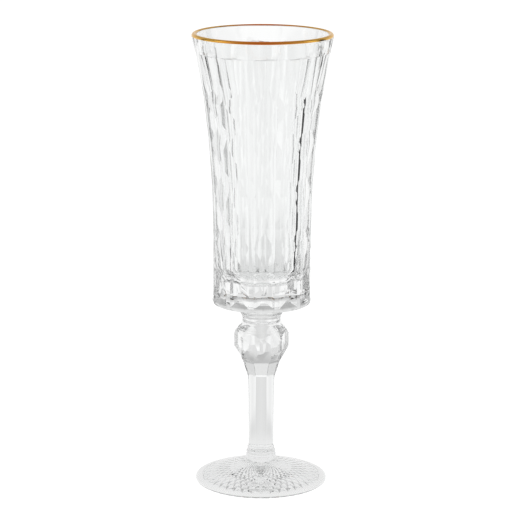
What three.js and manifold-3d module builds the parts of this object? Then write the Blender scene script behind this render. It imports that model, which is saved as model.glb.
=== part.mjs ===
// A champagne flute in pressed clear glass with a gilded lip. Millimetres, +Z up, the origin is
// the middle of the foot's underside, and the front of the glass faces -Y.
// The pieces stand on one axis and are welded face to face: foot, foot collar, stem, knop,
// merese and bowl. The gilt band lies over the rounded lip.
import * as THREE from "three";
import { mergeVertices } from "three/addons/utils/BufferGeometryUtils.js";
import Module from "manifold-3d";

const wasm = await Module();
wasm.setup();

// ---- driving dimensions ----

const HEIGHT = 220;
const FOOT_RADIUS = 31.9;
const LIP_RADIUS = 33.6;

// Heights of the welds between the pieces.
const FOOT_TOP = 9.8;
const COLLAR_TOP = 16.5;
const STEM_TOP = 53.5;
const KNOP_TOP = 81.5;
const MERESE_TOP = 89.3;

// The foot. The dome rises from the shoulder to the flat that the collar stands on.
const REST_RING_INNER = 28.3;
const REST_RING_OUTER = 30.8;
const FOOT_EDGE_ROUNDING = 1.1;
const FOOT_SHOULDER = 30.5;
const FOOT_EDGE_HEIGHT = 2.4;
const COLLAR_BASE = 8.9;
const DOME_STEPS = 5;
const DOME_CURVE = 1.06;
const RECESS_EDGE = 0.4;
const RECESS_HEIGHT = 2.6;
const STAR_POINTS = 40;
const STAR_RINGS = 9;
const STAR_DEPTH = 0.7;
const STAR_INNER = 4.5;

// The stem and the knop have eight sides, with one side square to the front.
const STEM_SIDES = 8;
const STEM_FOOT_WIDTH = 12.2;
const STEM_HEAD_WIDTH = 12.8;
const STEM_WAIST = 0.05;
const STEM_FLARE = 0.2;
const KNOP_WIDTH = 26.4;
const KNOP_FACE_TOP = 75.6;
const KNOP_DIAMOND_MIDDLE = 72;
const KNOP_DIAMOND_ENDS = [66, 76.2];
const KNOP_TAPER = [[8.0, 57.6], [8.8, 60.6]];

// The narrow neck between knop and merese, and the merese's top under the bowl.
const NECK_RADIUS = 9.2;
const MERESE_RADIUS = 11.2;

// The bowl has twelve columns, and its valleys are turned a little from the stem's front side.
const COLUMNS = 12;
const BOWL_TURN = THREE.MathUtils.degToRad(3);
const FACET_TOP = 211;
const FACET_RUN_OUT = 2;
const WALL = 2.6;
const FLOOR_HEIGHT = 100;
const FLOOR_RADIUS = 18.2;
const FLOOR_CORNER = 9;
const BASE_RADIUS = 24;
const BASE_ROUNDING = 1.6;

// The column relief, as shares of the radius at the middle of a column's flat crest.
const CREST_TIP = 1.025;
const VALLEY = 0.936;
const BRIDGE = 1.013;
const SUNK = 0.988;

// Heights of the middles of the diamond rows, and of the gaps below, between and above them.
const DIAMOND_MIDDLES = [120.7, 145.4, 169.2, 188.5];
const DIAMOND_GAPS = [109.5, 130.4, 155.6, 178.6, 199.8];

// The gilt band lies over the rounded lip, from straight outwards to this angle on the inner side.
// The bare glass on the inner side ends a little lower down.
const GILT = 0.3;
const GILT_GAP = 0.3;
const GILT_END = 144;
const GILT_STEPS = 8;
const GLASS_END = 155;
const LIP_MIDDLE = LIP_RADIUS - WALL / 2;
const LIP_HEIGHT = HEIGHT - WALL / 2;

// Round pieces have this many sides.
const ROUND = 60;

// ---- materials ----

function clearGlass() {
  return new THREE.MeshStandardMaterial({ color: 0xeef2f3, roughness: 0.05, metalness: 0 });
}

function gilding() {
  return new THREE.MeshStandardMaterial({ color: 0xd8952c, roughness: 0.22, metalness: 1 });
}

// ---- solids ----

// A closed geometry as a manifold solid, with only its places left and its seams merged.
function solidOf(geometry) {
  const bare = geometry.clone();
  bare.deleteAttribute("normal");
  bare.deleteAttribute("uv");
  const merged = mergeVertices(bare, 1e-4);
  return new wasm.Manifold(
    new wasm.Mesh({
      numProp: 3,
      vertProperties: merged.attributes.position.array,
      triVerts: new Uint32Array(merged.index.array),
    }),
  );
}

// A manifold solid as a flat-shaded geometry.
function geometryOf(solid) {
  const mesh = solid.getMesh();
  const geometry = new THREE.BufferGeometry();
  geometry.setAttribute("position", new THREE.BufferAttribute(mesh.vertProperties, 3));
  geometry.setIndex(new THREE.BufferAttribute(mesh.triVerts, 1));
  const flat = geometry.toNonIndexed();
  flat.computeVertexNormals();
  return flat;
}

// Turns an outline of [radius, height] about the axis. A corner of the section lies at the bearing
// `turn`, which is measured from the front towards the right.
function turned(outline, sides = ROUND, turn = 0) {
  const points = outline.map(([radius, height]) => new THREE.Vector2(radius, height));
  return new THREE.LatheGeometry(points, sides, turn).rotateX(Math.PI / 2);
}

// The points of an arc about [radius, height], from one angle to another in degrees.
function arc(radius, height, size, from, to, steps) {
  const points = [];
  for (let i = 0; i <= steps; i += 1) {
    const angle = THREE.MathUtils.degToRad(from + ((to - from) * i) / steps);
    points.push([radius + size * Math.cos(angle), height + size * Math.sin(angle)]);
  }
  return points;
}

// An outline's radius at a height, along straight lines between its points.
function radiusAt(outline, height) {
  const next = Math.max(1, outline.findIndex(([, at]) => at >= height));
  const [[lowRadius, low], [highRadius, high]] = [outline[next - 1], outline[next]];
  return lowRadius + ((highRadius - lowRadius) * (height - low)) / (high - low);
}

// Closes an outline of the outer side to the axis at both ends.
function closed(outline) {
  return [[0, outline[0][1]], ...outline, [0, outline[outline.length - 1][1]]];
}

// A solid of flat panels: `across` gives the distance of the panels from the axis, and the
// corners between the panels lie at `turn`.
function panelled(across, sides, turn) {
  const corner = 1 / Math.cos(Math.PI / sides);
  const outline = across.map(([distance, height]) => [distance * corner, height]);
  return solidOf(turned(closed(outline), sides, turn));
}

// A star-shaped solid: tips and valleys take turns, and the first valley lies at `turn`.
function starred(tips, valleys, count, turn) {
  const rows = closed(valleys);
  const geometry = turned(rows, 2 * count, turn);
  const places = geometry.attributes.position;
  const place = new THREE.Vector3();
  closed(tips).forEach(([tip], row) => {
    const [valley] = rows[row];
    if (valley === 0) return;
    for (let side = 1; side < 2 * count; side += 2) {
      const at = side * rows.length + row;
      place.fromBufferAttribute(places, at);
      places.setXYZ(at, (place.x * tip) / valley, (place.y * tip) / valley, place.z);
    }
  });
  return solidOf(geometry);
}

// Ridges that run round the solid from crest to crest, highest at `middles` and sunk below the
// valleys at `gaps`. Seen from the front they stand out of the valleys as folded diamonds.
function diamondRidges(crests, middles, gaps, count, turn) {
  const half = Math.PI / count;
  const outline = [];
  gaps.forEach((gap, i) => {
    outline.push([(radiusAt(crests, gap) * VALLEY * SUNK) / Math.cos(half), gap]);
    if (i < middles.length) outline.push([radiusAt(crests, middles[i]) * BRIDGE, middles[i]]);
  });
  return solidOf(turned(closed(outline), count, turn + half));
}

// ---- foot ----

// The dome and edge of the foot, from the rest ring up to the collar.
function footDome() {
  const edge = FOOT_RADIUS - FOOT_EDGE_ROUNDING;
  const outline = [
    [0, 0],
    [REST_RING_OUTER, 0],
    ...arc(edge, FOOT_EDGE_ROUNDING, FOOT_EDGE_ROUNDING, -50, 50, 4),
  ];
  for (let step = 0; step <= DOME_STEPS; step += 1) {
    const share = step / DOME_STEPS;
    const radius = FOOT_SHOULDER + (COLLAR_BASE - FOOT_SHOULDER) * share;
    outline.push([radius, FOOT_EDGE_HEIGHT + (FOOT_TOP - FOOT_EDGE_HEIGHT) * share ** DOME_CURVE]);
  }
  outline.push([0, FOOT_TOP]);
  return solidOf(turned(outline));
}

// The recess below the foot. Its roof is a star of small pyramids: crests and hollows take turns
// round each ring, and the next ring has them the other way round.
function starRecess() {
  const outline = [[0, -1], [REST_RING_INNER, -1], [REST_RING_INNER, 0]];
  for (let ring = 1; ring <= STAR_RINGS; ring += 1) {
    const share = ring / STAR_RINGS;
    const radius = REST_RING_INNER + (STAR_INNER - REST_RING_INNER) * Math.sin((share * Math.PI) / 2);
    outline.push([radius, RECESS_EDGE + RECESS_HEIGHT * share]);
  }
  outline.push([0, RECESS_EDGE + RECESS_HEIGHT]);
  const geometry = turned(outline, 2 * STAR_POINTS);
  const places = geometry.attributes.position;
  for (let side = 0; side <= 2 * STAR_POINTS; side += 1) {
    for (let ring = 1; ring < STAR_RINGS; ring += 1) {
      const at = side * outline.length + ring + 2;
      if ((side + ring) % 2 === 0) places.setZ(at, places.getZ(at) + STAR_DEPTH);
    }
  }
  return solidOf(geometry);
}

function foot() {
  return footDome().subtract(starRecess());
}

// ---- stem ----

// The collar: a hollow fillet out of the foot, a step and a round ring.
function footCollar() {
  const outline = [
    [COLLAR_BASE, FOOT_TOP],
    [8.15, FOOT_TOP + 0.5],
    [7.6, FOOT_TOP + 1.3],
    [7.3, FOOT_TOP + 2.3],
    [7.2, FOOT_TOP + 3.2],
    [6.85, FOOT_TOP + 3.6],
    ...arc(6.35, FOOT_TOP + 4.7, 0.75, -60, 60, 3),
    [6.6, COLLAR_TOP],
  ];
  return solidOf(turned(closed(outline)));
}

function stem() {
  const across = [
    [STEM_FOOT_WIDTH / 2, COLLAR_TOP],
    [STEM_FOOT_WIDTH / 2 - STEM_WAIST, COLLAR_TOP + 12],
    [STEM_HEAD_WIDTH / 2 - STEM_FLARE / 2, STEM_TOP - 4],
    [STEM_HEAD_WIDTH / 2 + STEM_FLARE, STEM_TOP],
  ];
  return panelled(across, STEM_SIDES, Math.PI / STEM_SIDES);
}

// The knop's side faces: a tulip taper out of the stem, then the straight girdle.
function knopFaces() {
  const half = KNOP_WIDTH / 2;
  return [
    [STEM_HEAD_WIDTH / 2 + STEM_FLARE, STEM_TOP],
    ...KNOP_TAPER,
    [half - 0.1, 67.6],
    [half, KNOP_DIAMOND_MIDDLE],
    [half, KNOP_TOP],
  ];
}

// The knop's turned crown: two fine steps, a cone and the narrow neck.
function knopCrown() {
  const half = KNOP_WIDTH / 2;
  return [
    [half + 2, STEM_TOP],
    [half + 2, 67],
    [half + 0.2, 71],
    [half, 74],
    [half - 0.45, 75],
    [half - 1.15, KNOP_FACE_TOP],
    [half - 1.2, 76.3],
    [half - 1.9, 76.7],
    [half - 2.0, 77.3],
    [10.3, 78.2],
    [9.5, 79.9],
    [NECK_RADIUS, KNOP_TOP],
  ];
}

function knop() {
  const crests = knopFaces();
  const turn = Math.PI / STEM_SIDES;
  const tips = crests.map(([radius, height]) => [radius * CREST_TIP, height]);
  const flat = 1 / Math.cos(turn);
  const [, [, taperTop]] = KNOP_TAPER;
  const valleys = crests.map(([radius, height]) => [radius * (height > taperTop ? VALLEY : flat), height]);
  const ridges = diamondRidges(crests, [KNOP_DIAMOND_MIDDLE], KNOP_DIAMOND_ENDS, STEM_SIDES, turn);
  return starred(tips, valleys, STEM_SIDES, turn)
    .add(ridges)
    .intersect(panelled(crests, STEM_SIDES, turn))
    .intersect(solidOf(turned(closed(knopCrown()))));
}

// The merese: a fine step and a round bead on the neck.
function merese() {
  const outline = [
    [NECK_RADIUS, KNOP_TOP],
    [9.35, KNOP_TOP + 1],
    [10.0, KNOP_TOP + 2.4],
    [10.1, KNOP_TOP + 2.9],
    [9.6, KNOP_TOP + 3.2],
    [9.7, KNOP_TOP + 3.5],
    ...arc(10.2, KNOP_TOP + 4.5, 0.8, -70, 70, 4),
    [10.6, KNOP_TOP + 5.7],
    [MERESE_RADIUS, MERESE_TOP],
  ];
  return solidOf(turned(closed(outline)));
}

// ---- bowl ----

// The middle of a column's crest, from the base up. It is straight between the diamond rows.
function crestOutline() {
  return [
    [23.75, MERESE_TOP],
    [23.6, 97],
    [23.7, 120.7],
    [24.2, 145.4],
    [26.0, 169.2],
    [28.3, 188.5],
    [32.1, FACET_TOP],
    [32.4, FACET_TOP + FACET_RUN_OUT],
    [33.4, 218],
    [33.9, HEIGHT],
  ];
}

// The round base under the columns. Its fillet runs up into the valleys, so the columns end in a U.
function baseFlange() {
  return [
    [BASE_RADIUS - BASE_ROUNDING, MERESE_TOP],
    [BASE_RADIUS, MERESE_TOP + BASE_ROUNDING],
    [BASE_RADIUS, 91.2],
    [23.5, 91.9],
    [22.9, 92.7],
    [22.55, 93.8],
    [22.45, 96],
    [22.4, 97.8],
    [22.25, 98.6],
    [21.6, 99.6],
  ];
}

// The round body that the columns are pressed from: it shows at the base and under the lip.
function bowlBlank() {
  return [
    ...arc(BASE_RADIUS - BASE_ROUNDING, MERESE_TOP + BASE_ROUNDING, BASE_ROUNDING, -90, 0, 3),
    [24.6, 95],
    [36, 125],
    [36, FACET_TOP],
    [LIP_RADIUS - 1.55, FACET_TOP + 0.4],
    [LIP_RADIUS - 0.9, 214.6],
    [LIP_RADIUS - 0.3, 216.9],
    [LIP_RADIUS, LIP_HEIGHT],
    ...arc(LIP_MIDDLE, LIP_HEIGHT, WALL / 2 - GILT - GILT_GAP, 0, 90, 4),
  ];
}

// The hollow: a rounded floor, then a wall that follows the flare to the lip.
function bowlHollow() {
  const corner = FLOOR_RADIUS - FLOOR_CORNER;
  const lip = arc(LIP_MIDDLE, LIP_HEIGHT, WALL / 2 - GILT - GILT_GAP, GLASS_END, 96, 4);
  const [edge] = lip[lip.length - 1];
  return [
    [0, FLOOR_HEIGHT],
    [corner, FLOOR_HEIGHT + 0.3],
    ...arc(corner, FLOOR_HEIGHT + 0.3 + FLOOR_CORNER, FLOOR_CORNER, -72, 0, 6),
    [19.5, 124],
    [20.3, 146],
    [22.0, 168],
    [24.2, 187],
    [28.6, 209],
    ...arc(LIP_MIDDLE, LIP_HEIGHT, WALL / 2, 180, GLASS_END, 2),
    ...lip,
    [edge, HEIGHT],
    [0, HEIGHT],
  ];
}

function bowl() {
  const crests = crestOutline();
  const flat = 1.01 / Math.cos(Math.PI / COLUMNS);
  const tips = crests.map(([radius, height]) => [radius * CREST_TIP, height]);
  const valleys = crests.map(([radius, height]) => [radius * (height > FACET_TOP ? flat : VALLEY), height]);
  const ridges = diamondRidges(crests, DIAMOND_MIDDLES, DIAMOND_GAPS, COLUMNS, BOWL_TURN);
  return starred(tips, valleys, COLUMNS, BOWL_TURN)
    .add(ridges)
    .intersect(panelled(crests, COLUMNS, BOWL_TURN))
    .add(solidOf(turned(closed(baseFlange()))))
    .intersect(solidOf(turned(closed(bowlBlank()))))
    .subtract(solidOf(turned(bowlHollow())));
}

// ---- gilt band ----

function giltRimBand() {
  const outline = [
    ...arc(LIP_MIDDLE, LIP_HEIGHT, WALL / 2, 0, GILT_END, GILT_STEPS),
    ...arc(LIP_MIDDLE, LIP_HEIGHT, WALL / 2 - GILT, GILT_END, 0, GILT_STEPS),
  ];
  outline.push(outline[0]);
  return solidOf(turned(outline));
}

// ---- assembly ----

function piece(name, solid, material) {
  const mesh = new THREE.Mesh(geometryOf(solid), material);
  mesh.name = name;
  return mesh;
}

const group = new THREE.Group();
group.name = "champagne_flute";
group.add(
  piece("foot", foot(), clearGlass()),
  piece("foot_collar", footCollar(), clearGlass()),
  piece("stem", stem(), clearGlass()),
  piece("knop", knop(), clearGlass()),
  piece("merese", merese(), clearGlass()),
  piece("bowl", bowl(), clearGlass()),
  piece("gilt_rim_band", giltRimBand(), gilding()),
);

export default group;
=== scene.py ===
"""A champagne flute in pressed clear glass with a gilded lip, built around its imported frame.

The glass stands on one axis: a star-cut foot, a ringed foot collar, a faceted stem, a diamond knop, a
beaded merese and a tall bowl of twelve cut columns. The pieces are welded face to face, so the weld
faces let light through as solid glass would. A thin layer of gilding lies on the lip.

Bearings are measured in degrees from the front of the glass (-Y) towards its right (+X).
"""

import logging
import math
from collections.abc import Callable
from dataclasses import dataclass, field
from enum import Enum

import bpy
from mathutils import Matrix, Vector


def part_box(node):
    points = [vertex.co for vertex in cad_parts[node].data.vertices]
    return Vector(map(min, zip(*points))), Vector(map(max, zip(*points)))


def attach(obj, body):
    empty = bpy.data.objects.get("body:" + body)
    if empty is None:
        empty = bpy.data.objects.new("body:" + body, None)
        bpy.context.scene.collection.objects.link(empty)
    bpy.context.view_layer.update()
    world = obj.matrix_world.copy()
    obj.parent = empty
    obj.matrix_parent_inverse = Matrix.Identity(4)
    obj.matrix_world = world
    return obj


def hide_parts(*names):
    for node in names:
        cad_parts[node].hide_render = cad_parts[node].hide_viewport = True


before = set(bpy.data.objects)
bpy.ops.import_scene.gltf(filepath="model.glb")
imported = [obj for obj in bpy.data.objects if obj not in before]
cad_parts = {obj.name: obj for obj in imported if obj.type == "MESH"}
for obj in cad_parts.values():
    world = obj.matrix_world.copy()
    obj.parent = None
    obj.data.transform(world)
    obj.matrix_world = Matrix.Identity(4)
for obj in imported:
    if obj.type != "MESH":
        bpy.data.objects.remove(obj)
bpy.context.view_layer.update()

MM = 0.001
ROUND = 144
CLOSE = 0.01 * MM
MERGE_DISTANCE = 1e-6
GLASS_INDEX = 1.52
LOGGER = logging.getLogger("champagne_flute")

Outline = list[tuple[float, float]]


# ---- bench tools ----


class Combine(Enum):
    """How a second solid acts on the first."""

    ADD = "UNION"
    CUT = "DIFFERENCE"
    KEEP_COMMON = "INTERSECT"


def clear_bench() -> None:
    """Leave object mode with nothing selected."""
    active = bpy.context.view_layer.objects.active
    if active is not None and active.mode != "OBJECT":
        bpy.ops.object.mode_set(mode="OBJECT")
    bpy.ops.object.select_all(action="DESELECT")


def take(piece: bpy.types.Object) -> None:
    """Select one piece alone and make it the active one."""
    clear_bench()
    piece.select_set(True)
    bpy.context.view_layer.objects.active = piece


def open_mesh(piece: bpy.types.Object, kind: str = "FACE") -> None:
    """Open a piece's mesh for editing, with nothing selected in it.

    Args:
        piece: The piece to edit.
        kind: What is picked, as FACE, EDGE or VERT.
    """
    take(piece)
    bpy.ops.object.mode_set(mode="EDIT")
    bpy.ops.mesh.select_mode(type=kind)
    bpy.ops.mesh.select_all(action="DESELECT")


def close_mesh() -> None:
    """Go back to object mode."""
    bpy.ops.object.mode_set(mode="OBJECT")


def pick_faces(piece: bpy.types.Object, wanted: Callable[[Vector, Vector], bool]) -> None:
    """Open a mesh with only the wanted faces selected.

    Args:
        piece: The piece to edit.
        wanted: Tells from a face's centre and normal whether it is picked.
    """
    open_mesh(piece, "FACE")
    close_mesh()
    for face in piece.data.polygons:
        face.select = wanted(face.center, face.normal)
    bpy.ops.object.mode_set(mode="EDIT")


def pick_corners(piece: bpy.types.Object, wanted: Callable[[Vector], bool]) -> None:
    """Open a mesh with only the wanted corners selected.

    Args:
        piece: The piece to edit.
        wanted: Tells from a corner's place whether it is picked.
    """
    open_mesh(piece, "VERT")
    close_mesh()
    for corner in piece.data.vertices:
        corner.select = wanted(corner.co)
    bpy.ops.object.mode_set(mode="EDIT")


def pull_ring(start: tuple[float, float], outline: Outline) -> None:
    """Pull the selected cap along an outline, one ring at a time.

    Args:
        start: The radius and height of the cap now.
        outline: The radius and height of each ring to come.
    """
    radius, height = start
    for next_radius, next_height in outline:
        rise = (0, 0, next_height - height)
        bpy.ops.mesh.extrude_region_move(TRANSFORM_OT_translate={"value": rise})
        share = next_radius / radius
        bpy.ops.transform.resize(value=(share, share, 1), center_override=(0, 0, next_height))
        radius, height = next_radius, next_height


def pull_up(name: str, outline: Outline, sides: int = ROUND, turn: float = 0.0) -> bpy.types.Object:
    """Make a closed solid by pulling a disc up through rings.

    Args:
        name: The new object's name.
        outline: Radius and height of each ring, in metres, from the base up.
        sides: How many sides each ring has.
        turn: Bearing of one corner, in degrees.

    Returns:
        The solid, at the origin.
    """
    clear_bench()
    radius, height = outline[0]
    bpy.ops.mesh.primitive_circle_add(
        vertices=sides,
        radius=radius,
        fill_type="NGON",
        location=(0, 0, height),
        rotation=(0, 0, math.radians(turn)),
    )
    piece = bpy.context.view_layer.objects.active
    piece.name = name
    bpy.ops.object.transform_apply(location=True, rotation=True, scale=True)
    bpy.ops.object.mode_set(mode="EDIT")
    bpy.ops.mesh.select_all(action="SELECT")
    pull_ring(outline[0], outline[1:])
    bpy.ops.mesh.select_all(action="SELECT")
    bpy.ops.mesh.normals_make_consistent(inside=False)
    close_mesh()
    return piece


def combine(piece: bpy.types.Object, other: bpy.types.Object, how: Combine) -> None:
    """Join, cut or intersect a piece with another solid, which is used up.

    Args:
        piece: The piece that stays.
        other: The solid that acts on it.
        how: What it does.
    """
    take(piece)
    bpy.ops.object.modifier_add(type="BOOLEAN")
    modifier = piece.modifiers[-1]
    modifier.operation = how.value
    modifier.solver = "MANIFOLD"
    modifier.object = other
    bpy.ops.object.modifier_apply(modifier=modifier.name)
    bpy.data.objects.remove(other)


def soften(piece: bpy.types.Object, width: float, sharper_than: float) -> None:
    """Round the sharp edges of a piece with two narrow faces each.

    Args:
        piece: The piece.
        width: Width of the rounding on each side of an edge, in metres.
        sharper_than: Edges that turn by less than this many degrees are left.
    """
    take(piece)
    bpy.ops.object.modifier_add(type="BEVEL")
    modifier = piece.modifiers[-1]
    modifier.width = width
    modifier.segments = 2
    modifier.limit_method = "ANGLE"
    modifier.angle_limit = math.radians(sharper_than)
    modifier.use_clamp_overlap = True
    bpy.ops.object.modifier_apply(modifier=modifier.name)


def tidy(piece: bpy.types.Object, smooth_below: float) -> None:
    """Merge doubles, turn the faces outwards and smooth the shading.

    Args:
        piece: The piece.
        smooth_below: Edges that turn by less than this many degrees are shaded smooth.
    """
    take(piece)
    bpy.ops.object.mode_set(mode="EDIT")
    bpy.ops.mesh.select_all(action="SELECT")
    bpy.ops.mesh.remove_doubles(threshold=MERGE_DISTANCE)
    bpy.ops.mesh.select_all(action="SELECT")
    bpy.ops.mesh.normals_make_consistent(inside=False)
    close_mesh()
    bpy.ops.object.shade_smooth_by_angle(angle=math.radians(smooth_below))


def arc(middle: tuple[float, float], size: float, start: float, end: float, steps: int) -> Outline:
    """Points of an arc in an outline.

    Args:
        middle: Radius and height of the arc's centre, in metres.
        size: The arc's own radius, in metres.
        start: First angle in degrees, from straight outwards towards up.
        end: Last angle in degrees.
        steps: How many straight steps it takes.

    Returns:
        The points, both ends included.
    """
    points = []
    for step in range(steps + 1):
        angle = math.radians(start + (end - start) * step / steps)
        points.append((middle[0] + size * math.cos(angle), middle[1] + size * math.sin(angle)))
    return points


def in_metres(outline: Outline) -> Outline:
    """Turn an outline in millimetres into metres."""
    return [(radius * MM, height * MM) for radius, height in outline]


def flowing(points: Outline, steps: int) -> Outline:
    """Lead a flowing line through the points of an outline.

    Args:
        points: The outline's points.
        steps: How many straight steps lie between two of them.

    Returns:
        The finer outline.
    """
    finer = []
    last = len(points) - 1
    for i in range(last):
        before, here, there, after = (points[min(max(k, 0), last)] for k in (i - 1, i, i + 1, i + 2))
        for step in range(steps):
            t = step / steps
            weights = (
                (-t + 2 * t**2 - t**3) / 2,
                (2 - 5 * t**2 + 3 * t**3) / 2,
                (t + 4 * t**2 - 3 * t**3) / 2,
                (t**3 - t**2) / 2,
            )
            near = (before, here, there, after)
            radius = sum(weight * point[0] for weight, point in zip(weights, near))
            height = sum(weight * point[1] for weight, point in zip(weights, near))
            finer.append((radius, height))
    return [*finer, points[last]]


def radius_at(outline: Outline, height: float) -> float:
    """The radius of an outline at a height, along straight lines between its points."""
    for (low_radius, low), (high_radius, high) in zip(outline, outline[1:]):
        if high >= height:
            return low_radius + (high_radius - low_radius) * (height - low) / (high - low)
    return outline[-1][0]


def bearing(place: Vector) -> float:
    """The bearing of a place about the axis, in degrees."""
    return math.degrees(math.atan2(place.x, -place.y))


# ---- finishes ----


def pressed_ripple() -> bpy.types.ShaderNodeTree:
    """The faint unevenness that a mould and the fire polish leave in glass.

    Returns:
        A node group that puts out a height and a share for other values to vary with.
    """
    group = bpy.data.node_groups.new("pressed_ripple", "ShaderNodeTree")
    group.interface.new_socket("Ripple Scale", in_out="INPUT", socket_type="NodeSocketFloat")
    group.interface.new_socket("Grain Scale", in_out="INPUT", socket_type="NodeSocketFloat")
    group.interface.new_socket("Grain Share", in_out="INPUT", socket_type="NodeSocketFloat")
    group.interface.new_socket("Height", in_out="OUTPUT", socket_type="NodeSocketFloat")
    group.interface.new_socket("Share", in_out="OUTPUT", socket_type="NodeSocketFloat")
    nodes, links = group.nodes, group.links
    given = nodes.new("NodeGroupInput")
    out = nodes.new("NodeGroupOutput")
    place = nodes.new("ShaderNodeTexCoord")
    ripple = nodes.new("ShaderNodeTexNoise")
    ripple.inputs["Detail"].default_value = 1.5
    grain = nodes.new("ShaderNodeTexNoise")
    grain.inputs["Detail"].default_value = 2.0
    blend = nodes.new("ShaderNodeMix")
    links.new(place.outputs["Object"], ripple.inputs["Vector"])
    links.new(place.outputs["Object"], grain.inputs["Vector"])
    links.new(given.outputs["Ripple Scale"], ripple.inputs["Scale"])
    links.new(given.outputs["Grain Scale"], grain.inputs["Scale"])
    links.new(given.outputs["Grain Share"], blend.inputs["Factor"])
    links.new(ripple.outputs["Fac"], blend.inputs["A"])
    links.new(grain.outputs["Fac"], blend.inputs["B"])
    links.new(blend.outputs["Result"], out.inputs["Height"])
    links.new(ripple.outputs["Fac"], out.inputs["Share"])
    return group


def place_ripple(
    nodes: bpy.types.Nodes, ripple: float, grain: float, grain_share: float
) -> bpy.types.Node:
    """Place the pressed ripple in a material.

    Args:
        nodes: The material's nodes.
        ripple: Scale of the broad ripple.
        grain: Scale of the fine grain.
        grain_share: How much of the height is grain.

    Returns:
        The group node.
    """
    node = nodes.new("ShaderNodeGroup")
    node.node_tree = bpy.data.node_groups.get("pressed_ripple") or pressed_ripple()
    node.inputs["Ripple Scale"].default_value = ripple
    node.inputs["Grain Scale"].default_value = grain
    node.inputs["Grain Share"].default_value = grain_share
    return node


def map_values(
    nodes: bpy.types.Nodes,
    given: tuple[float, float],
    wanted: tuple[float, float],
    smooth: bool = False,
) -> bpy.types.Node:
    """A node that turns one range of values into another.

    Args:
        nodes: The nodes of the material, group or world.
        given: The range that comes in.
        wanted: The range that goes out.
        smooth: Whether the change eases in and out.

    Returns:
        The node, with its value open.
    """
    node = nodes.new("ShaderNodeMapRange")
    if smooth:
        node.interpolation_type = "SMOOTHSTEP"
    node.inputs["From Min"].default_value, node.inputs["From Max"].default_value = given
    node.inputs["To Min"].default_value, node.inputs["To Max"].default_value = wanted
    return node


def calculate(nodes: bpy.types.Nodes, operation: str) -> bpy.types.Node:
    """A node that does one sum.

    Args:
        nodes: The nodes of the material, group or world.
        operation: What it does with its inputs.

    Returns:
        The node, with its inputs open.
    """
    node = nodes.new("ShaderNodeMath")
    node.operation = operation
    return node


def mix_colours(
    nodes: bpy.types.Nodes,
    first: tuple[float, float, float],
    second: tuple[float, float, float],
) -> bpy.types.Node:
    """A colour mix node from one colour to another.

    Args:
        nodes: The material's nodes.
        first: The colour at factor 0.
        second: The colour at factor 1.

    Returns:
        The node, with its factor open.
    """
    mix = nodes.new("ShaderNodeMix")
    mix.data_type = "RGBA"
    mix.inputs["A"].default_value = (*first, 1.0)
    mix.inputs["B"].default_value = (*second, 1.0)
    return mix


@dataclass(frozen=True)
class PressedGlass:
    """Clear pressed glass, fire polished."""

    name: str
    ripple_scale: float = 95.0
    grain_scale: float = 1400.0
    grain_share: float = 0.04
    ripple_depth: float = 0.02 * MM
    roughest: float = 0.025
    bright: tuple[float, float, float] = (0.992, 0.996, 0.994)
    dull: tuple[float, float, float] = (0.972, 0.981, 0.979)

    def make(self) -> bpy.types.Material:
        """Build the material."""
        material = bpy.data.materials.new(self.name)
        material.use_nodes = True
        nodes, links = material.node_tree.nodes, material.node_tree.links
        shader = nodes["Principled BSDF"]
        shader.inputs["Transmission Weight"].default_value = 1.0
        shader.inputs["IOR"].default_value = GLASS_INDEX
        ripple = place_ripple(nodes, self.ripple_scale, self.grain_scale, self.grain_share)
        tint = mix_colours(nodes, self.dull, self.bright)
        links.new(ripple.outputs["Share"], tint.inputs["Factor"])
        links.new(tint.outputs["Result"], shader.inputs["Base Color"])
        polish = map_values(nodes, (0.0, 1.0), (0.0, self.roughest))
        links.new(ripple.outputs["Share"], polish.inputs["Value"])
        links.new(polish.outputs["Result"], shader.inputs["Roughness"])
        bump = nodes.new("ShaderNodeBump")
        bump.inputs["Strength"].default_value = 1.0
        bump.inputs["Distance"].default_value = self.ripple_depth
        links.new(ripple.outputs["Height"], bump.inputs["Height"])
        links.new(bump.outputs["Normal"], shader.inputs["Normal"])
        return material


@dataclass(frozen=True)
class WeldedJoint:
    """The face where two pieces of glass are one: light goes straight through it."""

    name: str = "welded_joint"

    def make(self) -> bpy.types.Material:
        """Build the material."""
        material = bpy.data.materials.new(self.name)
        material.use_nodes = True
        shader = material.node_tree.nodes["Principled BSDF"]
        shader.inputs["Alpha"].default_value = 0.0
        return material


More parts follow.
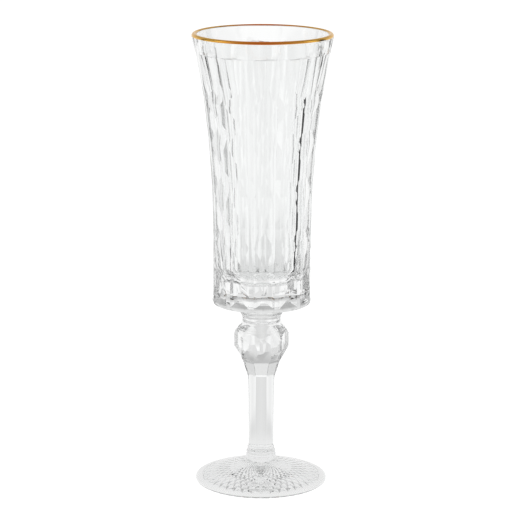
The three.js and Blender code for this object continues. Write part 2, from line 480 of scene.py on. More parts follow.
@dataclass(frozen=True)
class Gilding:
    """Fired lustre gold, brushed on thin, its tone varying a little at random; redder at the front and
    the back and paler at the sides, which is painted reflection.
    """

    name: str = "fired_gilding"
    pale: tuple[float, float, float] = (1.0, 0.56, 0.10)
    deep: tuple[float, float, float] = (0.88, 0.20, 0.02)
    ripple_scale: float = 60.0
    grain_scale: float = 2600.0
    grain_share: float = 0.25
    ripple_share: float = 0.3
    deep_within: float = 2 * MM
    pale_beyond: float = 30 * MM
    polish: tuple[float, float] = (0.12, 0.26)
    bump_strength: float = 0.5
    bump_depth: float = 0.01 * MM

    def make(self) -> bpy.types.Material:
        """Build the material."""
        material = bpy.data.materials.new(self.name)
        material.use_nodes = True
        nodes, links = material.node_tree.nodes, material.node_tree.links
        shader = nodes["Principled BSDF"]
        shader.inputs["Metallic"].default_value = 1.0
        ripple = place_ripple(nodes, self.ripple_scale, self.grain_scale, self.grain_share)
        place = nodes.new("ShaderNodeTexCoord")
        split = nodes.new("ShaderNodeSeparateXYZ")
        aside = calculate(nodes, "ABSOLUTE")
        # Painted reflection: deep red near x = 0 (front and back), pale beyond 30 mm (the sides),
        # standing in for how the lip catches the light.
        painted_reflection_share = map_values(nodes, (self.deep_within, self.pale_beyond), (0.0, 1.0), smooth=True)
        layer = calculate(nodes, "MULTIPLY_ADD")
        layer.inputs[1].default_value = self.ripple_share
        links.new(place.outputs["Object"], split.inputs["Vector"])
        links.new(split.outputs["X"], aside.inputs[0])
        links.new(aside.outputs["Value"], painted_reflection_share.inputs["Value"])
        links.new(ripple.outputs["Share"], layer.inputs[0])
        links.new(painted_reflection_share.outputs["Result"], layer.inputs[2])
        tone = mix_colours(nodes, self.deep, self.pale)
        links.new(layer.outputs["Value"], tone.inputs["Factor"])
        links.new(tone.outputs["Result"], shader.inputs["Base Color"])
        polish = map_values(nodes, (0.0, 1.0), self.polish)
        links.new(ripple.outputs["Height"], polish.inputs["Value"])
        links.new(polish.outputs["Result"], shader.inputs["Roughness"])
        bump = nodes.new("ShaderNodeBump")
        bump.inputs["Strength"].default_value = self.bump_strength
        bump.inputs["Distance"].default_value = self.bump_depth
        links.new(ripple.outputs["Height"], bump.inputs["Height"])
        links.new(bump.outputs["Normal"], shader.inputs["Normal"])
        return material


# ---- pieces ----


def weld_flat(piece: bpy.types.Object, height: float, reach: float) -> None:
    """Dress the flat weld face at a height with the joint finish, in the piece's second slot.

    Args:
        piece: The piece, with the joint finish in its second slot.
        height: Height of the weld face, in metres.
        reach: Faces whose centre is nearer the axis than this belong to the weld.
    """
    for face in piece.data.polygons:
        flat = abs(face.center.z - height) < CLOSE and abs(face.normal.z) > 0.99
        if flat and math.hypot(face.center.x, face.center.y) < reach:
            face.material_index = 1


@dataclass
class GlassPiece:
    """A piece of the pressed glass that stands for one node of the frame."""

    name: str
    node: str
    glass: bpy.types.Material
    joint: bpy.types.Material
    low: Vector = field(init=False)
    high: Vector = field(init=False)

    def __post_init__(self) -> None:
        """Read the node's place from the frame."""
        self.low, self.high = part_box(self.node)

    def build(self) -> bpy.types.Object:
        """Make the mesh. Each piece has its own way."""
        raise NotImplementedError

    def welds(self) -> list[tuple[float, float]]:
        """Height and reach of each weld face."""
        return [(self.low.z, self.high.x), (self.high.z, self.high.x)]

    def make(self) -> bpy.types.Object:
        """Build, dress and place the piece.

        Returns:
            The finished piece, riding on the frame.
        """
        piece = self.build()
        piece.name = self.name
        piece.data.name = self.name
        piece.data.materials.clear()
        piece.data.materials.append(self.glass)
        piece.data.materials.append(self.joint)
        for height, reach in self.welds():
            weld_flat(piece, height, reach)
        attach(piece, "root")
        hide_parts(self.node)
        LOGGER.info("%s stands for %s: %d faces", self.name, self.node, len(piece.data.polygons))
        return piece


@dataclass
class StarCutFoot(GlassPiece):
    """The domed foot. Its underside is cut as a star of long pyramids inside a flat rest ring."""

    collar_radius: float = 8.9 * MM
    edge_height: float = 2.4 * MM
    ring_inner: float = 28.3 * MM
    ring_outer: float = 30.8 * MM
    star_points: int = 40
    star_rings: int = 8
    ring_ratio: float = 1.33
    cut_depth: float = 0.75 * MM
    recess_edge: float = 0.3 * MM
    recess_rise: float = 3.2 * MM
    edge_rounding: float = 1.1 * MM
    edge_band: float = 1.4 * MM
    dome_curve: float = 1.06

    def build(self) -> bpy.types.Object:
        """Pull up the dome, then cut the recess below it."""
        dome = self.dome()
        combine(dome, self.star_recess(), Combine.CUT)
        tidy(dome, 28)
        return dome

    def dome(self) -> bpy.types.Object:
        """The upper side: a rounded edge, a low dome and the flat that the collar stands on."""
        edge = self.edge_rounding
        reach = self.high.x
        shoulder = reach - self.edge_band
        inwards = self.collar_radius - shoulder
        rise = self.high.z - self.edge_height
        slope = [
            (shoulder + inwards * share, self.edge_height + rise * share**self.dome_curve)
            for share in (0.0, 0.03, 0.12, 0.25, 0.4, 0.55, 0.7, 0.82, 0.92, 1.0)
        ]
        outline = [
            (self.ring_outer, self.low.z),
            *arc((reach - edge, edge), edge, -62, 52, 8),
            *slope,
        ]
        return pull_up("foot_dome", outline)

    def star_recess(self) -> bpy.types.Object:
        """The hollow below the foot, whose roof is a star of long pyramids."""
        below = self.low.z - 1 * MM
        roof = self.low.z + self.recess_edge
        rings = [(self.ring_inner, below), (self.ring_inner, roof)]
        for ring in range(1, self.star_rings + 1):
            radius = self.ring_inner / self.ring_ratio**ring
            rise = self.recess_rise * (1 - radius / self.ring_inner)
            rings.append((radius, roof + rise))
        recess = pull_up("star_recess", rings, self.star_points)
        first_ring = roof + 2 * CLOSE
        pick_faces(recess, lambda centre, normal: centre.z > first_ring)
        bpy.ops.mesh.poke()
        self.cross_the_rows(recess)
        pick_faces(recess, lambda centre, normal: centre.z > first_ring and normal.z > 0.5)
        bpy.ops.mesh.poke(offset=self.cut_depth, use_relative_offset=False)
        close_mesh()
        return recess

    def cross_the_rows(self, recess: bpy.types.Object) -> None:
        """Take away the rings and spokes, which leaves the slanting cuts that cross each other."""
        open_mesh(recess, "EDGE")
        close_mesh()
        mesh = recess.data
        last_ring = self.ring_inner / self.ring_ratio**self.star_rings
        for edge in mesh.edges:
            ends = [mesh.vertices[i].co for i in edge.vertices]
            level = [round(end.to_2d().length / CLOSE) for end in ends]
            same_ring = abs(level[0] - level[1]) < 2
            turned = abs((bearing(ends[0]) - bearing(ends[1]) + 180) % 360 - 180)
            spoke = turned < 0.01
            inside = min(end.z for end in ends) > self.low.z + self.recess_edge - 5 * CLOSE
            outermost = max(level) > self.ring_inner / CLOSE - 2
            innermost = min(level) < 2 + last_ring / CLOSE
            unwanted = spoke or (same_ring and not outermost)
            edge.select = inside and not innermost and unwanted
        bpy.ops.object.mode_set(mode="EDIT")
        bpy.ops.mesh.dissolve_edges(use_verts=False)
        close_mesh()

    def welds(self) -> list[tuple[float, float]]:
        """The flat on top, where the collar stands."""
        return [(self.high.z, self.collar_radius)]


@dataclass
class FootCollar(GlassPiece):
    """The ringed collar between foot and stem. Its top is cut to the stem's eight sides."""

    stem_across: float = 12.2 * MM
    stem_sides: int = 8

    def build(self) -> bpy.types.Object:
        """Pull up the rings, then score the stem's section into the top."""
        base = self.low.z
        outline = [
            *flowing(
                [
                    (8.9 * MM, base),
                    (8.15 * MM, base + 0.5 * MM),
                    (7.6 * MM, base + 1.3 * MM),
                    (7.3 * MM, base + 2.3 * MM),
                    (7.2 * MM, base + 3.2 * MM),
                ],
                3,
            ),
            (6.95 * MM, base + 3.55 * MM),
            *arc((6.35 * MM, base + 4.7 * MM), 0.78 * MM, -64, 64, 10),
            (6.45 * MM, self.high.z - 0.25 * MM),
            (6.6 * MM, self.high.z),
        ]
        collar = pull_up("collar_rings", outline)
        for side in range(self.stem_sides):
            angle = math.radians(side * 360 / self.stem_sides)
            outwards = Vector((math.sin(angle), -math.cos(angle), 0))
            pick_faces(collar, lambda centre, normal: normal.z > 0.9 and centre.z > self.high.z - CLOSE)
            bpy.ops.mesh.bisect(plane_co=outwards * self.stem_across / 2, plane_no=outwards)
            close_mesh()
        tidy(collar, 40)
        return collar

    def welds(self) -> list[tuple[float, float]]:
        """The whole base, and the eight-sided middle of the top."""
        inside_the_sides = self.stem_across / 2 * 0.97
        return [(self.low.z, self.high.x), (self.high.z, inside_the_sides)]


@dataclass
class FacetedStem(GlassPiece):
    """The eight-sided stem, a little waisted."""

    foot_across: float = 12.2 * MM
    waist_across: float = 12.1 * MM
    head_across: float = 13.2 * MM
    corner_rounding: float = 0.35 * MM
    sides: int = 8

    def build(self) -> bpy.types.Object:
        """Pull up the eight sides and soften the corners between them."""
        length = self.high.z - self.low.z
        corner = 1 / math.cos(math.pi / self.sides)
        across = [
            (self.foot_across, 0.0),
            (self.waist_across, 0.22),
            (self.waist_across, 0.4),
            (self.waist_across + 0.1 * MM, 0.6),
            (self.waist_across + 0.3 * MM, 0.78),
            (self.waist_across + 0.6 * MM, 0.9),
            (self.waist_across + 0.75 * MM, 0.95),
            (self.head_across, 1.0),
        ]
        outline = [(width / 2 * corner, self.low.z + length * share) for width, share in across]
        stem = pull_up("stem_sides", outline, self.sides, 180 / self.sides)
        self.round_corners(stem)
        tidy(stem, 20)
        return stem

    def round_corners(self, stem: bpy.types.Object) -> None:
        """Round the long corners, but not the welds."""
        take(stem)
        bpy.ops.object.modifier_add(type="BEVEL")
        modifier = stem.modifiers[-1]
        modifier.width = self.corner_rounding
        modifier.segments = 3
        modifier.limit_method = "WEIGHT"
        weight = stem.data.attributes.new("bevel_weight_edge", "FLOAT", "EDGE")
        for edge in stem.data.edges:
            ends = [stem.data.vertices[i].co for i in edge.vertices]
            weight.data[edge.index].value = 1.0 if abs(ends[0].z - ends[1].z) > 1 * MM else 0.0
        bpy.ops.object.modifier_apply(modifier=modifier.name)


def panelled(name: str, across: Outline, sides: int, turn: float) -> bpy.types.Object:
    """A solid of flat panels.

    Args:
        name: The new object's name.
        across: Distance of the panels from the axis, and height.
        sides: How many panels.
        turn: Bearing of a corner between two panels, in degrees.

    Returns:
        The solid.
    """
    corner = 1 / math.cos(math.pi / sides)
    return pull_up(name, [(distance * corner, height) for distance, height in across], sides, turn)


def fluted(
    name: str,
    tips: Outline,
    valley_share: Callable[[float], float],
    count: int,
    turn: float,
) -> bpy.types.Object:
    """A star-shaped solid whose tips and valleys take turns.

    Args:
        name: The new object's name.
        tips: Radius and height of the tips.
        valley_share: The valleys' radius as a share of the tips', by height.
        count: How many tips.
        turn: Bearing of a valley, in degrees.

    Returns:
        The solid.
    """
    star = pull_up(name, tips, 2 * count, turn)
    pitch = 360 / count
    for height in {height for _, height in tips}:
        share = valley_share(height)
        pick_corners(
            star,
            lambda place: abs(place.z - height) < CLOSE
            and abs((bearing(place) - turn + pitch / 2) % pitch - pitch / 2) < pitch / 8,
        )
        bpy.ops.transform.resize(value=(share, share, 1), center_override=(0, 0, height))
        close_mesh()
    return star


@dataclass
class DiamondKnop(GlassPiece):
    """The knop: eight panels with a folded diamond on each corner, under a ringed crown."""

    half: float = 13.2 * MM
    sides: int = 8
    plain_below: float = 62 * MM
    diamond_foot: float = 66 * MM
    diamond_middle: float = 72 * MM
    diamond_head: float = 76.2 * MM
    tip: float = 1.03
    corner: float = 1.012
    valley: float = 0.93
    sunk: float = 0.988
    bridge: float = 1.013

    def faces(self) -> Outline:
        """The panels' distance from the axis: a tulip taper, then the straight girdle."""
        return [
            (6.6 * MM, self.low.z),
            (6.85 * MM, 54.4 * MM),
            (7.25 * MM, 55.6 * MM),
            (7.65 * MM, 56.8 * MM),
            (8.05 * MM, 58.2 * MM),
            (8.5 * MM, 60.0 * MM),
            (9.1 * MM, 61.4 * MM),
            (self.half - 0.1 * MM, 67.6 * MM),
            (self.half, self.diamond_middle),
            (self.half, self.high.z + 1 * MM),
        ]

    def crown(self) -> Outline:
        """The turned crown: two fine steps, a cone and the narrow neck."""
        half = self.half
        return [
            (half + 2 * MM, self.low.z - 1 * MM),
            (half + 2 * MM, 67 * MM),
            (half + 0.2 * MM, 71 * MM),
            (half, 74 * MM),
            (half - 0.25 * MM, 74.7 * MM),
            (half - 0.6 * MM, 75.25 * MM),
            *arc((half - 1.5 * MM, 75.75 * MM), 0.42 * MM, 20, 70, 3),
            (half - 1.55 * MM, 76.35 * MM),
            *arc((half - 2.2 * MM, 76.75 * MM), 0.45 * MM, 10, 80, 4),
            (half - 2.3 * MM, 77.45 * MM),
            (10.5 * MM, 78.0 * MM),
            (9.95 * MM, 78.9 * MM),
            (9.5 * MM, 80.0 * MM),
            (9.2 * MM, self.high.z),
        ]

    def build(self) -> bpy.types.Object:
        """Cut the diamonds into the panels, then trim the solid to the crown."""
        turn = 180 / self.sides
        faces = self.faces()
        tips = [(radius * self.tip, height) for radius, height in faces]
        tips.insert(0, (tips[0][0], self.low.z - 0.5 * MM))
        flat = self.corner / math.cos(math.pi / self.sides) / self.tip
        deep = self.valley / self.tip
        knop = fluted(
            "knop_relief",
            tips,
            lambda height: flat if height < self.plain_below else deep,
            self.sides,
            turn,
        )
        combine(knop, self.ridges(faces), Combine.ADD)
        combine(knop, panelled("knop_panels", faces, self.sides, turn), Combine.KEEP_COMMON)
        soften(knop, 0.12 * MM, 6)
        combine(knop, pull_up("knop_crown", self.crown()), Combine.KEEP_COMMON)
        tidy(knop, 24)
        return knop

    def ridges(self, faces: Outline) -> bpy.types.Object:
        """The ridges that stand out of the valleys as folded diamonds."""
        gap = self.valley * self.sunk / math.cos(math.pi / self.sides)
        rings = [
            (radius_at(faces, height) * share, height)
            for height, share in (
                (self.diamond_foot, gap),
                (self.diamond_middle, self.bridge),
                (self.diamond_head, gap),
            )
        ]
        return pull_up("knop_ridges", rings, self.sides, 360 / self.sides)


@dataclass
class BeadedMerese(GlassPiece):
    """The merese between knop and bowl: a fine step and a round bead on a short neck."""

    def build(self) -> bpy.types.Object:
        """Pull up the rings."""
        base = self.low.z
        outline = [
            (9.2 * MM, base),
            (9.25 * MM, base + 0.6 * MM),
            (9.45 * MM, base + 1.3 * MM),
            (9.85 * MM, base + 2.1 * MM),
            *arc((9.75 * MM, base + 2.7 * MM), 0.4 * MM, -40, 60, 4),
            (9.65 * MM, base + 3.25 * MM),
            (9.7 * MM, base + 3.55 * MM),
            *arc((10.2 * MM, base + 4.5 * MM), 0.82 * MM, -70, 70, 10),
            (10.45 * MM, base + 5.55 * MM),
            *flowing(
                [
                    (10.6 * MM, base + 5.9 * MM),
                    (10.8 * MM, base + 6.7 * MM),
                    (11.2 * MM, self.high.z),
                ],
                3,
            ),
        ]
        merese = pull_up("merese_rings", outline)
        tidy(merese, 40)
        return merese


@dataclass(frozen=True)
class RoundedLip:
    """The rounded lip: the glass under the gilding stops just inside it."""

    radius: float = 33.6 * MM
    wall: float = 2.6 * MM
    gilding: float = 0.06 * MM

    def middle(self) -> tuple[float, float]:
        """Radius and height of the middle of the rounding."""
        _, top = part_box("gilt_rim_band")
        return (self.radius - self.wall / 2, top.z - self.wall / 2)

    def glass(self, start: float, end: float) -> Outline:
        """The surface of the glass from one angle to another."""
        return arc(self.middle(), self.wall / 2 - self.gilding, start, end, 10)


@dataclass
class ColumnBowl(GlassPiece):
    """The tall bowl: twelve cut columns with folded diamonds in the valleys between them."""

    lip: RoundedLip = RoundedLip()
    columns: int = 12
    turn: float = 3.0
    facet_top: float = 211 * MM
    floor_height: float = 100 * MM
    floor_radius: float = 18.2 * MM
    floor_corner: float = 9 * MM
    merese_reach: float = 11.2 * MM
    base_reach: float = 22.35 * MM
    base_rounding: float = 1.6 * MM
    crest_tip: float = 1.025
    valley: float = 0.936
    upper_valley: float = 0.975
    corner: float = 1.01
    sunk: float = 0.988
    bridge: float = 1.013
    middles: tuple[float, ...] = (120.7, 145.4, 169.2, 188.5)
    gaps: tuple[float, ...] = (109.5, 130.4, 155.6, 178.6, 199.8)

    def crests(self) -> Outline:
        """The middle of a column's crest, from below the base to above the lip."""
        return in_metres(
            [
                (23.75, 88),
                (23.6, 97),
                (23.7, 120.7),
                (24.2, 145.4),
                (26.0, 169.2),
                (28.3, 188.5),
                (32.1, 211),
                (32.4, 213),
                (33.4, 218),
                (34.2, 222),
            ]
        )

    def relief(self) -> bpy.types.Object:
        """The cut columns and diamonds, with softened edges, before the body is turned to size."""
        crests = self.crests()
        flat = self.corner / math.cos(math.pi / self.columns) / self.crest_tip
        tips = [(radius * self.crest_tip, height) for radius, height in crests]

        def share(height: float) -> float:
            """The valleys get shallow towards the lip and run out flat under it."""
            if height > self.facet_top + CLOSE:
                return flat
            depth = self.upper_valley if height > self.facet_top - CLOSE else self.valley
            return depth / self.crest_tip

        body = fluted("bowl_relief", tips, share, self.columns, self.turn)
        combine(body, self.diamond_ridges(crests), Combine.ADD)
        combine(body, panelled("bowl_panels", crests, self.columns, self.turn), Combine.KEEP_COMMON)
        soften(body, 0.16 * MM, 5)
        return body

    def diamond_ridges(self, crests: Outline) -> bpy.types.Object:
        """Ridges from crest to crest that stand out of the valleys as folded diamonds."""
        half = math.pi / self.columns
        sunk = self.valley * self.sunk / math.cos(half)
        rings = []
        for row, gap in enumerate(self.gaps):
            rings.append((radius_at(crests, gap * MM) * sunk, gap * MM))
            if row < len(self.middles):
                fold = self.middles[row] * MM
                rings.append((radius_at(crests, fold) * self.bridge, fold))
        return pull_up("diamond_ridges", rings, self.columns, self.turn + math.degrees(half))

    def flange(self) -> bpy.types.Object:
        """The round base. Its fillet runs up the valleys, so the columns end in a U."""
        profile = [
            (23.7, 90.6),
            (23.65, 91.3),
            (23.35, 92.0),
            (22.9, 92.8),
            (22.55, 93.8),
            (22.45, 96),
            (22.4, 97.8),
            (22.25, 98.6),
            (21.6, 99.6),
        ]
        outline = [
            (self.merese_reach, self.low.z),
            (22.8 * MM, self.low.z),
            *flowing(in_metres(profile), 3),
        ]
        return pull_up("bowl_flange", outline)

    def blank(self) -> bpy.types.Object:
        """The round body: it shows at the base and under the lip."""
        lip = self.lip.radius
        rounding = self.base_rounding
        outline = [
            (self.merese_reach, self.low.z),
            *arc((self.base_reach, self.low.z + rounding), rounding, -90, 0, 8),
            (24.6 * MM, 95 * MM),
            (36 * MM, 125 * MM),
            (36 * MM, self.facet_top),
            (lip - 1.5 * MM, self.facet_top + 0.4 * MM),
            (lip - 0.9 * MM, 214.2 * MM),
            (lip - 0.3 * MM, 216.8 * MM),
            (lip - self.lip.gilding, 218.3 * MM),
            *self.lip.glass(0, 90),
        ]
        return pull_up("bowl_blank", outline)

    def hollow(self) -> bpy.types.Object:
        """The inside: a rounded floor, a wall that follows the flare, and the lip's inner half."""
        corner = self.floor_corner
        flat = self.floor_radius - corner
        floor = self.floor_height + 0.3 * MM
        wall = [(18.2, 109.5), (19.5, 124), (20.3, 146), (22.0, 168), (24.2, 187), (28.6, 209)]
        lip = self.lip.glass(180, 92)
        _, middle = self.lip.middle()
        top = self.lip.radius - self.lip.wall + self.lip.gilding
        outline = [
            (2 * MM, self.floor_height),
            (flat, floor),
            *arc((flat, floor + corner), corner, -80, -3, 14),
            *flowing([*in_metres(wall), (top, middle)], 5)[:-1],
            *lip,
            (lip[-1][0], middle + self.lip.wall),
        ]
        return pull_up("bowl_hollow", outline)

    def build(self) -> bpy.types.Object:
        """Cut the relief, turn it to size and hollow it."""
        bowl = self.relief()
        combine(bowl, self.flange(), Combine.ADD)
        combine(bowl, self.blank(), Combine.KEEP_COMMON)
        combine(bowl, self.hollow(), Combine.CUT)
        tidy(bowl, 24)
        return bowl

    def welds(self) -> list[tuple[float, float]]:
        """The middle of the base, where the merese stands."""
        return [(self.low.z, self.merese_reach)]


@dataclass
class GiltLip:
    """The layer of gilding on the rounded lip."""

    finish: bpy.types.Material
    lip: RoundedLip = RoundedLip()
    layer: float = 0.08 * MM
    inner_end: float = 144.0
    steps: int = 18

    def make(self) -> bpy.types.Object:
        """Build, dress and place the gilding.

        Returns:
            The finished piece, riding on the frame.
        """
        middle = self.lip.middle()
        size = self.lip.wall / 2
        outer = arc(middle, size, 0, self.inner_end, self.steps)
        inner = arc(middle, size - self.layer, self.inner_end, 0, self.steps)
        gilt = pull_up("gilt_lip", [*outer, *inner, outer[0]])
        pick_faces(gilt, lambda centre, normal: math.hypot(centre.x, centre.y) < 1 * MM)
        bpy.ops.mesh.delete(type="FACE")
        tidy(gilt, 40)
        gilt.data.materials.append(self.finish)
        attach(gilt, "root")
        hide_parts("gilt_rim_band")
        LOGGER.info("gilt_lip stands for gilt_rim_band: %d faces", len(gilt.data.polygons))
        return gilt


# ---- studio ----


@dataclass(frozen=True)
class Studio:
    """The pale floor, the soft light and the camera."""

    lit_point: tuple[float, float, float] = (0.0, 0.0, 0.12)
    distance: float = 1.1
    eye_height: float = 0.364
    look_down: float = 12.9
    lean: float = -0.2
    aim_left: float = 0.19
    lens: float = 164.9
    floor_size: float = 9.0
    floor_colour: tuple[float, float, float] = (0.3, 0.3, 0.3)
    floor_glow: float = 0.96
    near_tone: float = 0.79
    far_tone: float = 1.05
    near_reach: float = 0.3
    far_reach: float = 0.95
    under_foot: float = 0.045
    lane: float = 0.03
    wall_height: tuple[float, float] = (0.12, 0.45)
    upper_tone: float = 0.62
    under_tone: float = 1.09
    room: tuple[tuple[float, float], ...] = (
        (-180, 0.75),
        (-125, 0.8),
        (-95, 0.95),
        (-72, 1.0),
        (-71, 0.02),
        (-63, 0.02),
        (-62, 1.0),
        (-50, 0.9),
        (-38, 1.02),
        (-28, 0.86),
        (-18, 1.02),
        (-8, 0.9),
        (0, 1.0),
        (8, 0.9),
        (18, 1.02),
        (28, 0.86),
        (38, 1.02),
        (50, 0.9),
        (58, 1.0),
        (59, 0.0),
        (75, 0.0),
        (76, 1.0),
        (95, 0.95),
        (125, 0.8),
        (180, 0.75),
    )

    def room_tone(self) -> bpy.types.ShaderNodeTree:
        """How bright the room is all round: white behind the glass, a dark screen on each side.

        Returns:
            A node group from a direction to its tone.
        """
        group = bpy.data.node_groups.new("room_tone", "ShaderNodeTree")
        group.interface.new_socket("Direction", in_out="INPUT", socket_type="NodeSocketVector")
        group.interface.new_socket("Tone", in_out="OUTPUT", socket_type="NodeSocketFloat")
        nodes, links = group.nodes, group.links
        given = nodes.new("NodeGroupInput")
        out = nodes.new("NodeGroupOutput")
        split = nodes.new("ShaderNodeSeparateXYZ")
        around = calculate(nodes, "ARCTAN2")
        turn = map_values(nodes, (-math.pi, math.pi), (0.0, 1.0))
        ramp = nodes.new("ShaderNodeValToRGB")
        stops = ramp.color_ramp.elements
        while len(stops) < len(self.room):
            stops.new(0.5)
        for stop, (angle, tone) in zip(stops, self.room):
            stop.position = (angle + 180) / 360
            stop.color = (tone, tone, tone, 1.0)
        links.new(given.outputs["Direction"], split.inputs["Vector"])
        links.new(split.outputs["X"], around.inputs[0])
        links.new(split.outputs["Y"], around.inputs[1])
        links.new(around.outputs["Value"], turn.inputs["Value"])
        links.new(turn.outputs["Result"], ramp.inputs["Fac"])
        links.new(ramp.outputs["Color"], out.inputs["Tone"])
        return group

    def floor(self) -> None:
        """A plain pale floor that glows evenly to the camera. Seen through the glass it shows painted
        light instead: it glows with the tone of the room, dark screens included, brighter under the
        foot, and darker near the glass in a narrow lane down the middle.
        """
        clear_bench()
        bpy.ops.mesh.primitive_plane_add(size=self.floor_size)
        floor = bpy.context.view_layer.objects.active
        floor.name = "studio_floor"
        material = bpy.data.materials.new("studio_floor")
        material.use_nodes = True
        nodes, links = material.node_tree.nodes, material.node_tree.links
        shader = nodes["Principled BSDF"]
        shader.inputs["Base Color"].default_value = (*self.floor_colour, 1.0)
        shader.inputs["Roughness"].default_value = 1.0
        shader.inputs["Specular IOR Level"].default_value = 0.0
        shader.inputs["Emission Color"].default_value = (1.0, 1.0, 1.0, 1.0)
        shader.inputs["Emission Strength"].default_value = self.floor_glow
        place = nodes.new("ShaderNodeTexCoord")
        room = nodes.new("ShaderNodeGroup")
        room.node_tree = bpy.data.node_groups["room_tone"]
        reach = nodes.new("ShaderNodeVectorMath")
        reach.operation = "LENGTH"
        # Painted light, seen only through the glass: darker near the glass and brighter far off in a
        # narrow lane down the middle, brighter right under the foot, and the room's tone with its dark
        # screens elsewhere.
        near = map_values(
            nodes,
            (self.near_reach, self.far_reach),
            (self.near_tone, self.far_tone),
            smooth=True,
        )
        even = map_values(nodes, (self.under_foot, 2 * self.under_foot), (0.0, 1.0), smooth=True)
        split = nodes.new("ShaderNodeSeparateXYZ")
        aside = calculate(nodes, "ABSOLUTE")
        beside = map_values(nodes, (self.lane, 2 * self.lane), (0.0, 1.0), smooth=True)
        lane = nodes.new("ShaderNodeMix")
        lane.inputs["B"].default_value = 1.0
        settle = nodes.new("ShaderNodeMix")
        settle.inputs["A"].default_value = self.under_tone
        tone = calculate(nodes, "MULTIPLY")
        through = nodes.new("ShaderNodeEmission")
        path = nodes.new("ShaderNodeLightPath")
        mix = nodes.new("ShaderNodeMixShader")
        links.new(place.outputs["Object"], room.inputs["Direction"])
        links.new(place.outputs["Object"], reach.inputs[0])
        links.new(reach.outputs["Value"], near.inputs["Value"])
        links.new(reach.outputs["Value"], even.inputs["Value"])
        links.new(even.outputs["Result"], settle.inputs["Factor"])
        links.new(room.outputs["Tone"], settle.inputs["B"])
        links.new(settle.outputs["Result"], tone.inputs[0])
        links.new(place.outputs["Object"], split.inputs["Vector"])
        links.new(split.outputs["X"], aside.inputs[0])
        links.new(aside.outputs["Value"], beside.inputs["Value"])
        links.new(beside.outputs["Result"], lane.inputs["Factor"])
        links.new(near.outputs["Result"], lane.inputs["A"])
        links.new(lane.outputs["Result"], tone.inputs[1])
        links.new(tone.outputs["Value"], through.inputs["Strength"])
        links.new(path.outputs["Is Camera Ray"], mix.inputs["Fac"])
        links.new(through.outputs["Emission"], mix.inputs[1])
        links.new(shader.outputs["BSDF"], mix.inputs[2])
        links.new(mix.outputs["Shader"], nodes["Material Output"].inputs["Surface"])
        floor.data.materials.append(material)

    def sky(self) -> None:
        """Light low down, as the room's walls are, and greyer above them."""
        world = bpy.data.worlds.new("studio_light")
        bpy.context.scene.world = world
        world.use_nodes = True
        nodes, links = world.node_tree.nodes, world.node_tree.links
        nodes.clear()
        out = nodes.new("ShaderNodeOutputWorld")
        seen = nodes.new("ShaderNodeBackground")
        seen.inputs["Color"].default_value = (1.0, 1.0, 1.0, 1.0)
        light = nodes.new("ShaderNodeBackground")
        place = nodes.new("ShaderNodeTexCoord")
        split = nodes.new("ShaderNodeSeparateXYZ")
        room = nodes.new("ShaderNodeGroup")
        room.node_tree = bpy.data.node_groups["room_tone"]
        upper = map_values(nodes, self.wall_height, (1.0, self.upper_tone), smooth=True)
        tone = calculate(nodes, "MULTIPLY")
        path = nodes.new("ShaderNodeLightPath")
        mix = nodes.new("ShaderNodeMixShader")
        links.new(place.outputs["Generated"], split.inputs["Vector"])
        links.new(place.outputs["Generated"], room.inputs["Direction"])
        links.new(split.outputs["Z"], upper.inputs["Value"])
        links.new(room.outputs["Tone"], tone.inputs[0])
        links.new(upper.outputs["Result"], tone.inputs[1])
        links.new(tone.outputs["Value"], light.inputs["Strength"])
        links.new(path.outputs["Is Camera Ray"], mix.inputs["Fac"])
        links.new(light.outputs["Background"], mix.inputs[1])
        links.new(seen.outputs["Background"], mix.inputs[2])
        links.new(mix.outputs["Shader"], out.inputs["Surface"])

    def lamp(self, name: str, place: tuple[float, float, float], size: float, power: float) -> None:
        """A soft square lamp that looks at the glass.

        Args:
            name: The lamp's name.
            place: Where it hangs, in metres.
            size: Its width, in metres.
            power: Its power, in watts.
        """
        clear_bench()
        towards = Vector(self.lit_point) - Vector(place)
        bpy.ops.object.light_add(type="AREA", location=place)
        lamp = bpy.context.view_layer.objects.active
        lamp.name = name
        lamp.rotation_mode = "QUATERNION"
        lamp.rotation_quaternion = towards.to_track_quat("-Z", "Y")
        lamp.data.size = size
        lamp.data.energy = power
        lamp.visible_camera = False

    def camera(self) -> None:
        """The camera in front of the glass, looking slightly down."""
        clear_bench()
        bpy.ops.object.camera_add(
            location=(0, -self.distance, self.eye_height),
            rotation=tuple(math.radians(a) for a in (90 - self.look_down, self.lean, self.aim_left)),
        )
        camera = bpy.context.view_layer.objects.active
        camera.name = "studio_camera"
        camera.data.lens = self.lens
        camera.data.sensor_width = 36
        camera.data.clip_start = 0.01
        camera.data.clip_end = 50
        bpy.context.scene.camera = camera

    def picture(self) -> None:
        """Plain colours, and enough bounces for light to cross all the glass."""
        scene = bpy.context.scene
        scene.view_settings.view_transform = "Standard"
        scene.cycles.max_bounces = 32
        scene.cycles.transmission_bounces = 32
        scene.cycles.transparent_max_bounces = 32
        scene.cycles.glossy_bounces = 12
        scene.cycles.blur_glossy = 0.0

    def set_up(self) -> None:
        """Set up the whole studio."""
        self.camera()
        self.room_tone()
        self.floor()
        self.sky()
        self.lamp("left_softbox", (-0.9, -0.2, 0.9), 0.5, 0.5)
        self.lamp("right_softbox", (0.9, 0.1, 0.8), 0.4, 0.3)
        self.picture()


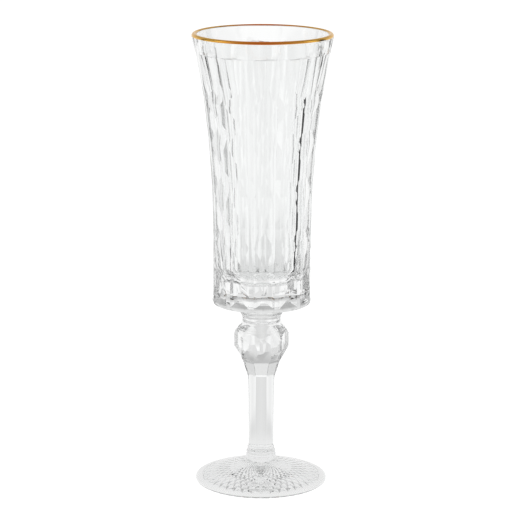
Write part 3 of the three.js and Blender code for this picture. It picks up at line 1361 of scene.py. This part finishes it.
def main() -> None:
    """Set up the studio and make the flute from the foot up."""
    logging.basicConfig(level=logging.INFO, format="%(name)s: %(message)s")
    Studio().set_up()
    bowl_glass = PressedGlass("bowl_glass").make()
    leg_glass = PressedGlass("leg_glass", ripple_scale=120.0).make()
    foot_glass = PressedGlass("foot_glass", ripple_scale=150.0, ripple_depth=0.015 * MM).make()
    joint = WeldedJoint().make()
    StarCutFoot("star_cut_foot", "foot", foot_glass, joint).make()
    FootCollar("ringed_collar", "foot_collar", leg_glass, joint).make()
    FacetedStem("faceted_stem", "stem", leg_glass, joint).make()
    DiamondKnop("diamond_knop", "knop", leg_glass, joint).make()
    BeadedMerese("beaded_merese", "merese", leg_glass, joint).make()
    ColumnBowl("column_bowl", "bowl", bowl_glass, joint).make()
    GiltLip(Gilding().make()).make()


if __name__ == "__main__":
    main()
